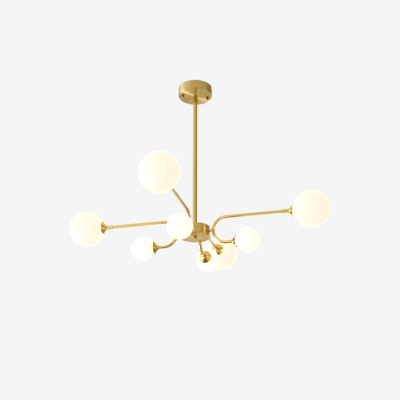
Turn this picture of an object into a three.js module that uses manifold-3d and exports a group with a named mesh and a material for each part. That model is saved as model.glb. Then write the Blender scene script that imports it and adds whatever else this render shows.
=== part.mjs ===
// Branch chandelier: a ceiling canopy, one drop rod, a round hub, and four C-shaped brass branches
// that each carry a large and a small opal glass globe.
// Millimetres, +Z up. The origin is on the ceiling plane, on the rod's axis.
import * as THREE from "three";
import { mergeVertices } from "three/addons/utils/BufferGeometryUtils.js";
import Module from "manifold-3d";

const wasm = await Module();
wasm.setup();

// Shared fits
const seatGap = 0.3; // between pieces that touch or are brazed
const threadGap = 0.3; // between a thread and what it passes through or screws into
const overrun = 2; // how far a cutting tool runs past the face it cuts

// Ceiling crossbar
const barEndGap = 6.8; // from each end of the bar to the canopy's wall
const barWidth = 20;
const barThickness = 3;
const barTurn = THREE.MathUtils.degToRad(26); // from the first branch towards the second
const barSlotLength = 16;
const barSlotWidth = 5;
const barSlotSpacing = 52;
const barCornerRadius = 4;

// Terminal block, pegged under the crossbar
const terminalLength = 28;
const terminalWidth = 16;
const terminalHeight = 10;
const terminalWireHole = 3.6;
const terminalWireSpacing = 8;
const terminalWireCount = 3;
const terminalPegDiameter = 3;
const terminalPegInset = 4; // from the block's end to the peg's axis

// Canopy and its two screws
const canopyDiameter = 120;
const canopyDepth = 32;
const canopyWall = 1.2;
const canopyEdgeRadius = 2.5;
const canopyScrewInset = 15; // from the canopy's side to the screw's axis
const canopyScrewDiameter = 4;
const canopyScrewHeadDiameter = 9;
const canopyScrewHeadHeight = 7;
const canopyScrewDomeHeight = 2;

// Drop rod with a screwed nipple at each end, and the nuts on the nipples
const rodDiameter = 15;
const rodWall = 1;
const rodLength = 502;
const nippleDiameter = 10;
const nippleBore = 7;
const nippleTail = 2; // thread that shows past a nut
const rodNutAcrossFlats = 14;
const rodNutThickness = 4;
const rodEndWebThickness = 4;

// Hub
const hubDiameter = 100;
const hubHeight = 35;
const hubWall = 1.5;
const hubTopThickness = 2;
const hubEdgeRadius = 1.5;
const basePlateOverhang = 2;
const basePlateThickness = 3;
const basePlateEdgeRadius = 0.8;
const locatingRimHeight = 3;
const locatingRimWall = 2;
const locatingRimGap = 0.5;
const wireWindowDiameter = 6;
const finialDiameter = 16;
const finialHeight = 8;
const finialDomeHeight = 4;
const finialThreadDepth = 5;

// Branch tube
const branchCount = 4;
const tubeDiameter = 10;
const tubeWall = 1;
const bendRadius = 44; // to the tube's centreline
const bendStandOff = 12; // from the hub's wall to the centreline at the back of the bend

// Swivel stub that joins the back of the bend to the hub's wall, and its nut
const stubDiameter = 8;
const stubBore = 4;
const stubCollarShoulder = 1.5;
const stubCollarLength = 2.5;
const stubWaistDiameter = 7.4;
const stubNutAcrossFlats = 13;
const stubNutThickness = 3.5;
const stubTail = 1.5; // thread that shows past the nut
const swivelGap = 0.3;

// Globes
const largeGlobe = { diameter: 120, sides: 20, rings: 5 };
const smallGlobe = { diameter: 80, sides: 20, rings: 4 };
const globeWall = 2.2;
const globeNeckDiameter = 30;
const globeNeckLength = 5.1; // from the ball into the cup
const largeGlobeReach = 387.5; // from the rod's axis to the globe's centre
const smallGlobeReach = 177.8;

// Cups, lamp holders and bulbs
const cupRimDiameter = 44;
const cupRimGap = 1.6; // from the cup's rim to where the globe's neck meets its ball
const cupDepth = 15;
const cupWall = 1.2;
const cupFlarePower = 1.4; // 1 is a straight cone
const largeCupNeckWall = 1.7;
const smallCupNeckWall = 1.2;
const cupSocketDepth = 3; // how far a tube's end goes into its cup
const ferruleWall = 1.2;
const ferruleLength = 19.5;
const ferruleChamfer = 0.8;
const holderStemDiameter = 7.5;
const holderStemLength = 10.5;
const holderBodyDiameter = 18;
const holderBodyLength = 17;
const holderSocketDiameter = 10;
const holderSocketDepth = 8;
const bulbBaseGap = 0.5; // all round, in the holder's socket
const bulbCapsuleDiameter = 14;
const bulbCapsuleLength = 24;
const bulbNeckLength = 3;

// Faces on round pieces, and steps along bends
const canopySides = 40;
const hubSides = 40;
const rodSides = 20;
const boltSides = 12;
const lampSides = 10;
const cupSides = 16;
const tubeSides = 10;
const bendSteps = 10;
const filletSteps = 2;
const chamferSteps = 1;
const flareSteps = 3;

// Sizes that follow from the pieces they fit
const barLength = canopyDiameter - 2 * (canopyWall + barEndGap);
const terminalPegSpacing = terminalLength - 2 * terminalPegInset;
const canopyScrewSpacing = canopyDiameter - 2 * canopyScrewInset;
const basePlateDiameter = hubDiameter + 2 * basePlateOverhang;
const stubCollarDiameter = stubDiameter + 2 * stubCollarShoulder;
const sleeveBore = tubeDiameter + 2 * seatGap;
const ferruleDiameter = sleeveBore + 2 * ferruleWall;
const largeCupNeckDiameter = sleeveBore + 2 * largeCupNeckWall;
const smallCupNeckDiameter = sleeveBore + 2 * smallCupNeckWall;
const bulbBaseDiameter = holderSocketDiameter - 2 * bulbBaseGap;

// Heights, all measured down from the ceiling
const canopyBottom = -canopyDepth;
const hubTop = canopyBottom - rodLength;
const basePlateTop = hubTop - hubHeight + basePlateThickness;
const hubBottom = hubTop - hubHeight;
const stubHeight = hubTop - (hubHeight - basePlateThickness) / 2;

// Reaches, all measured out from the rod's axis
const bendBackReach = hubDiameter / 2 + bendStandOff;
const bendCentreReach = bendBackReach + bendRadius;
const neckInset = (globeDiameter) => Math.sqrt((globeDiameter / 2) ** 2 - (globeNeckDiameter / 2) ** 2);
const rimInset = (globeDiameter) => neckInset(globeDiameter) + cupRimGap;
const largeRimReach = largeGlobeReach - rimInset(largeGlobe.diameter);
const smallRimReach = smallGlobeReach - rimInset(smallGlobe.diameter);
const largeNeckReach = largeRimReach - cupDepth;
const smallNeckReach = smallRimReach - cupDepth;

const finish = {
  brass: { color: "#c9a24a", roughness: 0.32, metalness: 1 },
  steel: { color: "#b9bcc0", roughness: 0.4, metalness: 1 },
  ceramic: { color: "#efece4", roughness: 0.6, metalness: 0 },
  plastic: { color: "#e6e4dc", roughness: 0.5, metalness: 0 },
  opal: { color: "#fff8e8", roughness: 0.2, metalness: 0 },
  glass: { color: "#fdfbf2", roughness: 0.1, metalness: 0 },
};

// A named piece with its own material.
function piece(name, geometry, look) {
  geometry.computeVertexNormals();
  const mesh = new THREE.Mesh(geometry, new THREE.MeshStandardMaterial(look));
  mesh.name = name;
  return mesh;
}

function group(...children) {
  const made = new THREE.Group();
  made.add(...children);
  return made;
}

// The closed geometry as a solid that can be cut and joined.
function solid(geometry) {
  const bare = geometry.clone();
  bare.deleteAttribute("normal");
  bare.deleteAttribute("uv");
  const merged = mergeVertices(bare);
  return new wasm.Manifold(
    new wasm.Mesh({
      numProp: 3,
      vertProperties: merged.attributes.position.array,
      triVerts: new Uint32Array(merged.index.array),
    }),
  );
}

function geometryOf(made) {
  const { vertProperties, triVerts } = made.getMesh();
  return new THREE.BufferGeometry()
    .setAttribute("position", new THREE.BufferAttribute(vertProperties, 3))
    .setIndex(new THREE.BufferAttribute(triVerts, 1));
}

// The first geometry less all the others.
function cut(body, ...tools) {
  return geometryOf(tools.reduce((rest, tool) => rest.subtract(solid(tool)), solid(body)));
}

function join(...bodies) {
  return geometryOf(bodies.map(solid).reduce((whole, body) => whole.add(body)));
}

// A profile of [radius, height] points turned about Z, listed anticlockwise with radius to the right.
function turned(profile, sides) {
  const points = profile.map(([radius, height]) => new THREE.Vector2(radius, height));
  return new THREE.LatheGeometry(points, sides).rotateX(Math.PI / 2);
}

// The same, turned about X: a profile of [radius, reach] points.
function turnedOutward(profile, sides) {
  return turned(profile, sides).rotateY(Math.PI / 2);
}

// A ring profile: its outer points from low to high, then its inner points back down, closed.
function ring(outer, inner) {
  return [...outer, ...inner, outer[0]];
}

// Points of a quarter round between two angles, about a centre.
function arc([centreRadius, centreHeight], radius, from, to, steps) {
  return Array.from({ length: steps + 1 }, (_, step) => {
    const angle = THREE.MathUtils.lerp(from, to, step / steps);
    return [centreRadius + radius * Math.cos(angle), centreHeight + radius * Math.sin(angle)];
  });
}

// A straight round pin between two heights on Z.
function pin(diameter, low, high, sides = boltSides) {
  return new THREE.CylinderGeometry(diameter / 2, diameter / 2, high - low, sides)
    .rotateX(Math.PI / 2)
    .translate(0, 0, (low + high) / 2);
}

// A hexagonal nut on Z, from its lower face up.
function hexNut(acrossFlats, thickness, threadDiameter) {
  const cornerRadius = acrossFlats / 2 / Math.cos(Math.PI / 6);
  const corners = Array.from({ length: 6 }, (_, corner) => {
    const angle = (corner * Math.PI) / 3;
    return new THREE.Vector2(cornerRadius * Math.cos(angle), cornerRadius * Math.sin(angle));
  });
  const outline = new THREE.Shape(corners);
  outline.holes.push(new THREE.Path().absarc(0, 0, threadDiameter / 2 + threadGap, 0, 2 * Math.PI));
  return new THREE.ExtrudeGeometry(outline, {
    depth: thickness,
    bevelEnabled: false,
    curveSegments: boltSides,
  });
}

function ceilingCrossbar() {
  const halfLength = barLength / 2;
  const halfWidth = barWidth / 2;
  const round = barCornerRadius;
  const outline = new THREE.Shape()
    .absarc(halfLength - round, halfWidth - round, round, 0, Math.PI / 2)
    .absarc(round - halfLength, halfWidth - round, round, Math.PI / 2, Math.PI)
    .absarc(round - halfLength, round - halfWidth, round, Math.PI, 1.5 * Math.PI)
    .absarc(halfLength - round, round - halfWidth, round, 1.5 * Math.PI, 2 * Math.PI)
    .closePath();
  for (const side of [-1, 1]) {
    const slotRadius = barSlotWidth / 2;
    const slotHalf = barSlotLength / 2 - slotRadius;
    const slotCentre = (side * barSlotSpacing) / 2;
    const slot = new THREE.Path()
      .absarc(slotCentre + slotHalf, 0, slotRadius, -Math.PI / 2, Math.PI / 2)
      .absarc(slotCentre - slotHalf, 0, slotRadius, Math.PI / 2, 1.5 * Math.PI)
      .closePath();
    const screwHole = new THREE.Path().absarc(
      (side * canopyScrewSpacing) / 2,
      0,
      canopyScrewDiameter / 2 + threadGap,
      0,
      2 * Math.PI,
    );
    const pegHole = new THREE.Path().absarc(
      (side * terminalPegSpacing) / 2,
      0,
      terminalPegDiameter / 2 + seatGap,
      0,
      2 * Math.PI,
    );
    outline.holes.push(slot, screwHole, pegHole);
  }
  return new THREE.ExtrudeGeometry(outline, {
    depth: barThickness,
    bevelEnabled: false,
    curveSegments: boltSides / 3,
  }).translate(0, 0, -barThickness);
}

function terminalBlock() {
  const top = -barThickness - seatGap;
  const body = new THREE.BoxGeometry(terminalLength, terminalWidth, terminalHeight).translate(
    0,
    0,
    top - terminalHeight / 2,
  );
  const pegs = [-1, 1].map((side) =>
    pin(terminalPegDiameter, top - overrun, -seatGap).translate((side * terminalPegSpacing) / 2, 0, 0),
  );
  const holes = Array.from({ length: terminalWireCount }, (_, index) =>
    pin(terminalWireHole, -terminalWidth, terminalWidth)
      .rotateX(Math.PI / 2)
      .translate((index - (terminalWireCount - 1) / 2) * terminalWireSpacing, 0, top - terminalHeight / 2),
  );
  return cut(join(body, ...pegs), ...holes);
}

function canopy() {
  const outerRadius = canopyDiameter / 2;
  const round = canopyEdgeRadius;
  const holeRadius = nippleDiameter / 2 + threadGap;
  const bottom = canopyBottom;
  const edgeCentre = [outerRadius - round, bottom + round];
  const outer = [
    [holeRadius, bottom],
    ...arc(edgeCentre, round, -Math.PI / 2, 0, filletSteps),
    [outerRadius, 0],
  ];
  const inner = [
    [outerRadius - canopyWall, 0],
    ...arc(edgeCentre, round - canopyWall, 0, -Math.PI / 2, filletSteps),
    [holeRadius, bottom + canopyWall],
  ];
  const screwHoles = [-1, 1].map((side) =>
    pin(canopyScrewDiameter + 2 * threadGap, bottom - overrun, bottom + canopyWall + overrun)
      .translate((side * canopyScrewSpacing) / 2, 0, 0)
      .rotateZ(barTurn),
  );
  return cut(turned(ring(outer, inner), canopySides), ...screwHoles);
}

// The screw's head is below the canopy and its shank ends just under the ceiling.
function canopyScrew() {
  const headTop = canopyBottom - seatGap;
  const headBottom = headTop - canopyScrewHeadHeight;
  const headRadius = canopyScrewHeadDiameter / 2;
  const dome = Array.from({ length: filletSteps + 1 }, (_, step) => {
    const angle = (step / filletSteps) * (Math.PI / 2);
    return [
      headRadius * Math.sin(angle),
      headBottom + canopyScrewDomeHeight * (1 - Math.cos(angle)),
    ];
  });
  return turned(
    [
      ...dome,
      [headRadius, headTop],
      [canopyScrewDiameter / 2, headTop],
      [canopyScrewDiameter / 2, -seatGap],
      [0, -seatGap],
    ],
    boltSides,
  );
}

// The drawn tube is one piece with the nipples brazed into its ends.
function dropRod() {
  const tubeRadius = rodDiameter / 2;
  const threadRadius = nippleDiameter / 2;
  const boreRadius = nippleBore / 2;
  const roomRadius = tubeRadius - rodWall;
  const shoulderTop = canopyBottom - seatGap;
  const shoulderBottom = hubTop + seatGap;
  const threadTop = canopyBottom + canopyWall + seatGap + rodNutThickness + nippleTail;
  const threadBottom = hubBottom - finialThreadDepth;
  const outer = [
    [threadRadius, threadBottom],
    [threadRadius, shoulderBottom],
    [tubeRadius, shoulderBottom],
    [tubeRadius, shoulderTop],
    [threadRadius, shoulderTop],
    [threadRadius, threadTop],
  ];
  const inner = [
    [boreRadius, threadTop],
    [boreRadius, shoulderTop - rodEndWebThickness],
    [roomRadius, shoulderTop - rodEndWebThickness],
    [roomRadius, shoulderBottom + rodEndWebThickness],
    [boreRadius, shoulderBottom + rodEndWebThickness],
    [boreRadius, threadBottom],
  ];
  const wireWindow = pin(wireWindowDiameter, -rodDiameter, rodDiameter)
    .rotateX(Math.PI / 2)
    .translate(0, 0, stubHeight);
  return cut(turned(ring(outer, inner), rodSides), wireWindow);
}

function hubBody() {
  const outerRadius = hubDiameter / 2;
  const innerRadius = outerRadius - hubWall;
  const holeRadius = nippleDiameter / 2 + threadGap;
  const low = basePlateTop + seatGap;
  const edgeCentre = [outerRadius - hubEdgeRadius, hubTop - hubEdgeRadius];
  const outer = [
    [outerRadius, low],
    ...arc(edgeCentre, hubEdgeRadius, 0, Math.PI / 2, filletSteps),
    [holeRadius, hubTop],
  ];
  const inner = [
    [holeRadius, hubTop - hubTopThickness],
    [innerRadius, hubTop - hubTopThickness],
    [innerRadius, low],
  ];
  const stubHoles = [0, Math.PI / 2].map((turn) =>
    pin(stubDiameter + 2 * swivelGap, -hubDiameter, hubDiameter)
      .rotateY(Math.PI / 2)
      .rotateZ(turn)
      .translate(0, 0, stubHeight),
  );
  return cut(turned(ring(outer, inner), hubSides), ...stubHoles);
}

function hubBasePlate() {
  const outerRadius = basePlateDiameter / 2;
  const holeRadius = nippleDiameter / 2 + threadGap;
  const rimRadius = hubDiameter / 2 - hubWall - locatingRimGap;
  const round = basePlateEdgeRadius;
  const outer = [
    [holeRadius, hubBottom],
    ...arc([outerRadius - round, hubBottom + round], round, -Math.PI / 2, 0, chamferSteps),
    ...arc([outerRadius - round, basePlateTop - round], round, 0, Math.PI / 2, chamferSteps),
  ];
  const inner = [
    [rimRadius, basePlateTop],
    [rimRadius, basePlateTop + locatingRimHeight],
    [rimRadius - locatingRimWall, basePlateTop + locatingRimHeight],
    [rimRadius - locatingRimWall, basePlateTop],
    [holeRadius, basePlateTop],
  ];
  return turned(ring(outer, inner), hubSides);
}

function hubFinial() {
  const top = hubBottom - seatGap;
  const bottom = top - finialHeight;
  const radius = finialDiameter / 2;
  const boreRadius = nippleDiameter / 2 + threadGap;
  const dome = Array.from({ length: filletSteps + 1 }, (_, step) => {
    const angle = (step / filletSteps) * (Math.PI / 2);
    return [radius * Math.sin(angle), bottom + finialDomeHeight * (1 - Math.cos(angle))];
  });
  const boreEnd = hubBottom - finialThreadDepth - seatGap;
  return turned([...dome, [radius, top], [boreRadius, top], [boreRadius, boreEnd], [0, boreEnd]], rodSides);
}

// The branch tube's centreline, with points only where it bends: along the upper leg, round the
// bend at the back, and out along the lower leg.
class BranchPath extends THREE.Curve {
  constructor(upperEnd, lowerEnd) {
    super();
    const bend = Array.from({ length: bendSteps + 1 }, (_, step) => {
      const angle = Math.PI / 2 + (step / bendSteps) * Math.PI;
      const out = new THREE.Vector3(Math.cos(angle), 0, Math.sin(angle));
      return {
        point: out.clone().multiplyScalar(bendRadius).add(new THREE.Vector3(bendCentreReach, 0, 0)),
        tangent: new THREE.Vector3(-out.z, 0, out.x),
      };
    });
    this.stations = [
      { point: new THREE.Vector3(upperEnd, 0, bendRadius), tangent: new THREE.Vector3(-1, 0, 0) },
      ...bend,
      { point: new THREE.Vector3(lowerEnd, 0, -bendRadius), tangent: new THREE.Vector3(1, 0, 0) },
    ];
  }
  station(share) {
    return this.stations[Math.round(share * (this.stations.length - 1))];
  }
  getPointAt(share) {
    return this.station(share).point.clone();
  }
  getTangentAt(share) {
    return this.station(share).tangent.clone();
  }
}

// A round bar that follows the branch's centreline, run past both ends by the given length.
function branchBar(diameter, past) {
  const legEnd = cupSocketDepth + past;
  const path = new BranchPath(largeNeckReach + legEnd, smallNeckReach + legEnd);
  const section = new THREE.Shape().absarc(0, 0, diameter / 2, 0, 2 * Math.PI);
  return new THREE.ExtrudeGeometry(section, {
    steps: path.stations.length - 1,
    extrudePath: path,
    curveSegments: tubeSides / 2,
    bevelEnabled: false,
  });
}

function branchTube() {
  const wireHole = pin(stubBore, bendBackReach - tubeDiameter, bendBackReach).rotateY(Math.PI / 2);
  return cut(branchBar(tubeDiameter, 0), branchBar(tubeDiameter - 2 * tubeWall, overrun), wireHole);
}

// The stub turns in the hub's wall, and its outer end is shaped to the tube that is brazed to it.
function swivelStub() {
  const collarStart = hubDiameter / 2 + seatGap;
  const tail = stubNutReach() - stubNutThickness - stubTail;
  const outer = [
    [stubDiameter / 2, tail],
    [stubDiameter / 2, collarStart],
    [stubCollarDiameter / 2, collarStart],
    [stubCollarDiameter / 2, collarStart + stubCollarLength],
    [stubWaistDiameter / 2, bendBackReach - tubeDiameter / 2],
    [stubWaistDiameter / 2, bendBackReach],
  ];
  const inner = [
    [stubBore / 2, bendBackReach],
    [stubBore / 2, tail],
  ];
  return cut(turnedOutward(ring(outer, inner), boltSides), branchBar(sleeveBore, 0));
}

// The nut's corners set how close it comes to the round inside of the hub's wall.
function stubNutReach() {
  const cornerRadius = stubNutAcrossFlats / 2 / Math.cos(Math.PI / 6);
  const innerRadius = (hubDiameter / 2 - hubWall) * Math.cos(Math.PI / hubSides);
  return Math.sqrt(innerRadius ** 2 - cornerRadius ** 2) - seatGap;
}

function stubNut() {
  return hexNut(stubNutAcrossFlats, stubNutThickness, stubDiameter)
    .rotateY(Math.PI / 2)
    .translate(stubNutReach() - stubNutThickness, 0, 0);
}

function ferrule() {
  const high = largeNeckReach - seatGap;
  const low = high - ferruleLength;
  const radius = ferruleDiameter / 2;
  const boreRadius = sleeveBore / 2;
  const outer = [
    [radius - ferruleChamfer, low],
    [radius, low + ferruleChamfer],
    [radius, high - ferruleChamfer],
    [radius - ferruleChamfer, high],
  ];
  const inner = [
    [boreRadius, high],
    [boreRadius, low],
  ];
  return turnedOutward(ring(outer, inner), boltSides).translate(0, 0, bendRadius);
}

// A trumpet-shaped shell that the globe's neck sits in: the shell's own neck is at reach zero and
// its rim at the cup's depth.
function cup(neckDiameter, globeSize) {
  const rimRadius = cupRimDiameter / 2;
  const neckRadius = neckDiameter / 2;
  const boreRadius = sleeveBore / 2;
  const innerStart = neckRadius - cupWall + seatGap / 2;
  const flare = (startRadius, startReach, endReach) =>
    Array.from({ length: flareSteps + 1 }, (_, step) => {
      const share = step / flareSteps;
      const radius = startRadius + (rimRadius - startRadius) * share ** cupFlarePower;
      return [radius, startReach + (endReach - startReach) * share];
    });
  const outer = [[neckRadius, 0], ...flare(neckRadius, cupWall, cupDepth - cupWall)];
  const innerFlare = flare(innerStart, cupSocketDepth, cupDepth).reverse();
  const inner = [...innerFlare, [boreRadius, cupSocketDepth], [boreRadius, 0]];
  const glass = globeOutline(globeSize, seatGap, seatGap);
  const seat = turnedOutward([[0, glass[0][1]], ...glass], globeSize.sides);
  seat.translate(cupDepth + rimInset(globeSize.diameter), 0, 0);
  return cut(turnedOutward(ring(outer, inner), cupSides), seat);
}

// The outside of a globe from the end of its neck to its far pole, larger all round by one length
// and with a longer neck by another. It has as many rings behind its widest place as before it.
function globeOutline({ diameter, rings }, past, neckPast) {
  const neckRadius = globeNeckDiameter / 2 + past;
  const radius = diameter / 2 + past;
  const neckEnd = -neckInset(diameter) - globeNeckLength - neckPast;
  const neckAngle = -Math.PI / 2 + Math.asin(neckRadius / radius);
  const rear = arc([0, 0], radius, neckAngle, 0, rings);
  const front = arc([0, 0], radius, 0, Math.PI / 2, rings);
  return [[neckRadius, neckEnd], ...rear.slice(0, -1), ...front.slice(0, -1), [0, radius]];
}

// A ball of blown glass about a centre at zero, with a short open neck for the lamp holder.
function globe(globeSize) {
  const { diameter, sides, rings } = globeSize;
  const inner = globeOutline({ diameter, rings: rings - 1 }, -globeWall, 0).reverse();
  return turnedOutward(ring(globeOutline(globeSize, 0, 0), inner), sides);
}

// The holder's stem starts at the tube's end, and its body opens towards the globe.
function lampHolder() {
  const start = cupSocketDepth + seatGap;
  const bodyStart = start + holderStemLength;
  const bodyEnd = bodyStart + holderBodyLength;
  return turnedOutward(
    [
      [0, start],
      [holderStemDiameter / 2, start],
      [holderStemDiameter / 2, bodyStart],
      [holderBodyDiameter / 2, bodyStart],
      [holderBodyDiameter / 2, bodyEnd],
      [holderSocketDiameter / 2, bodyEnd],
      [holderSocketDiameter / 2, bodyEnd - holderSocketDepth],
      [0, bodyEnd - holderSocketDepth],
    ],
    lampSides,
  );
}

function bulb() {
  const bodyEnd = cupSocketDepth + seatGap + holderStemLength + holderBodyLength;
  const baseStart = bodyEnd - holderSocketDepth + seatGap;
  const capsuleRadius = bulbCapsuleDiameter / 2;
  const capsuleStart = bodyEnd + bulbNeckLength;
  const roundCentre = capsuleStart + bulbCapsuleLength - capsuleRadius;
  return turnedOutward(
    [
      [0, baseStart],
      [bulbBaseDiameter / 2, baseStart],
      [bulbBaseDiameter / 2, bodyEnd],
      [capsuleRadius, capsuleStart],
      ...arc([0, roundCentre], capsuleRadius, 0, Math.PI / 2, filletSteps).slice(0, -1),
      [0, roundCentre + capsuleRadius],
    ],
    lampSides,
  );
}

// One branch, drawn along +X with its swivel axis at height zero.
function branch(number) {
  const name = (what) => `branch_${number}_${what}`;
  const large = group(
    piece(name("large_cup"), cup(largeCupNeckDiameter, largeGlobe), finish.brass),
    piece(name("large_lamp_holder"), lampHolder(), finish.ceramic),
    piece(name("large_bulb"), bulb(), finish.glass),
  );
  large.position.set(largeNeckReach, 0, bendRadius);
  const small = group(
    piece(name("small_cup"), cup(smallCupNeckDiameter, smallGlobe), finish.brass),
    piece(name("small_lamp_holder"), lampHolder(), finish.ceramic),
    piece(name("small_bulb"), bulb(), finish.glass),
  );
  small.position.set(smallNeckReach, 0, -bendRadius);
  const largeGlass = piece(name("large_globe"), globe(largeGlobe), finish.opal);
  largeGlass.position.set(largeGlobeReach, 0, bendRadius);
  const smallGlass = piece(name("small_globe"), globe(smallGlobe), finish.opal);
  smallGlass.position.set(smallGlobeReach, 0, -bendRadius);
  return group(
    piece(name("tube"), branchTube(), finish.brass),
    piece(name("swivel_stub"), swivelStub(), finish.brass),
    piece(name("stub_nut"), stubNut(), finish.brass),
    piece(name("ferrule"), ferrule(), finish.brass),
    large,
    small,
    largeGlass,
    smallGlass,
  );
}

const chandelier = new THREE.Group();

const crossbar = group(
  piece("ceiling_crossbar", ceilingCrossbar(), finish.steel),
  piece("terminal_block", terminalBlock(), finish.plastic),
);
for (const [index, side] of [-1, 1].entries()) {
  const screw = piece(`canopy_screw_${index + 1}`, canopyScrew(), finish.brass);
  screw.position.x = (side * canopyScrewSpacing) / 2;
  crossbar.add(screw);
}
crossbar.rotation.z = barTurn;
chandelier.add(crossbar);

chandelier.add(piece("canopy", canopy(), finish.brass));
chandelier.add(piece("drop_rod", dropRod(), finish.brass));

const canopyNut = piece(
  "rod_canopy_nut",
  hexNut(rodNutAcrossFlats, rodNutThickness, nippleDiameter),
  finish.steel,
);
canopyNut.position.z = canopyBottom + canopyWall + seatGap;
const hubNut = piece(
  "rod_hub_nut",
  hexNut(rodNutAcrossFlats, rodNutThickness, nippleDiameter),
  finish.steel,
);
hubNut.position.z = hubTop - hubTopThickness - seatGap - rodNutThickness;
chandelier.add(canopyNut, hubNut);

chandelier.add(piece("hub_body", hubBody(), finish.brass));
chandelier.add(piece("hub_base_plate", hubBasePlate(), finish.brass));
chandelier.add(piece("hub_finial", hubFinial(), finish.brass));

for (let index = 0; index < branchCount; index++) {
  const arm = branch(index + 1);
  arm.position.z = stubHeight;
  arm.rotation.z = (index * 2 * Math.PI) / branchCount;
  chandelier.add(arm);
}

export default chandelier;
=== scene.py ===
"""Branch chandelier: the finished surfaces of a brass ceiling light with opal glass globes."""

import math

import bpy
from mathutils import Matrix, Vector


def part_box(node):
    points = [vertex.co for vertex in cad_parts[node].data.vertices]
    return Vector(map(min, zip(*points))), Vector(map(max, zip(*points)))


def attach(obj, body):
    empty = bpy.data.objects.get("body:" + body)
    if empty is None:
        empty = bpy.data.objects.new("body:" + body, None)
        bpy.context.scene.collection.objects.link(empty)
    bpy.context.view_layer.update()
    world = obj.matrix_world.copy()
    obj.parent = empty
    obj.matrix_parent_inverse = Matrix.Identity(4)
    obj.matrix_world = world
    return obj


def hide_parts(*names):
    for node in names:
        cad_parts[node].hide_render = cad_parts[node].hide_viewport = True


bl_info = {
    "name": "Branch chandelier",
    "version": (1, 0, 0),
    "blender": (4, 5, 0),
    "location": "View3D > Sidebar > Chandelier",
    "description": "Models a brass chandelier with opal globes around its packed frame",
    "category": "Object",
}

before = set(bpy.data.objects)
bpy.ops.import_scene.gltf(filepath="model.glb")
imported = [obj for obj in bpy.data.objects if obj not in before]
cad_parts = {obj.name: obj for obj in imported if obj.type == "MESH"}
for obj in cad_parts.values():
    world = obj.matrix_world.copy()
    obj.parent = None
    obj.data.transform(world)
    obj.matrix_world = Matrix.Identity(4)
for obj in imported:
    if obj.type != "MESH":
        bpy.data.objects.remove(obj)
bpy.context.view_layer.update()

MM = 0.001
QUARTER_TURN = math.pi / 2
BRANCHES = (1, 2, 3, 4)
BACK_BRANCH = 2
FRAME_BODY = "ceiling_frame"

# An edge that turns by more than this shades as a sharp one
SHARP = math.radians(32)

# An edge that turns by more than this gets rounded
ROUNDED = math.radians(40)

# Corners nearer to each other than this become one
MERGED = 0.001 * MM

# Pieces that meet stand this far apart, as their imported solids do
SEAT_GAP = 0.3 * MM

# A tube stands this far inside the bore that it fills
SLIDE_GAP = 0.1 * MM

# The width of the camera's sensor in millimetres, and how far it sees in metres
SENSOR_WIDTH = 36.0
VIEW_DEPTH = 50.0

# The floor's side and its height in metres, with the ceiling at 0
FLOOR_SIZE = 20.0
FLOOR_HEIGHT = -2.8

# How far from the hub the sides of the room stand, and how high they are, in metres
ROOM_RADIUS = 2.4
ROOM_HEIGHT = 4.4


def low(node):
    """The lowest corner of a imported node."""
    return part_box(node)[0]


def high(node):
    """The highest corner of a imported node."""
    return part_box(node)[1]


def extent(node, axis):
    """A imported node's length along X, Y or Z, as 0, 1 or 2."""
    return high(node)[axis] - low(node)[axis]


def middle(node, axis):
    """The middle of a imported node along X, Y or Z, as 0, 1 or 2."""
    return (high(node)[axis] + low(node)[axis]) / 2


def tube_radius():
    """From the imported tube's height, because its two legs are as far apart as the globes."""
    legs_apart = middle("branch_1_large_globe", 2) - middle("branch_1_small_globe", 2)
    return (extent("branch_1_tube", 2) - legs_apart) / 2


def linear(code):
    """An sRGB hex colour such as #C9A24A as linear red, green, blue and alpha."""
    parts = [int(code[i : i + 2], 16) / 255 for i in (1, 3, 5)]
    return [p / 12.92 if p <= 0.04045 else ((p + 0.055) / 1.055) ** 2.4 for p in parts] + [1.0]


def length_property(name, description, millimetres):
    return bpy.props.FloatProperty(
        name=name, description=description, default=millimetres * MM, min=0.0, unit="LENGTH"
    )


def angle_property(name, description, degrees):
    return bpy.props.FloatProperty(
        name=name, description=description, default=math.radians(degrees), subtype="ANGLE"
    )


def colour_property(name, description, code):
    return bpy.props.FloatVectorProperty(
        name=name,
        description=description,
        default=linear(code),
        size=4,
        min=0.0,
        max=1.0,
        subtype="COLOR",
    )


def strength_property(name, description, strength):
    return bpy.props.FloatProperty(name=name, description=description, default=strength, min=0.0)


def steps_property(name, description, steps):
    return bpy.props.IntProperty(name=name, description=description, default=steps, min=12)


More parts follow.
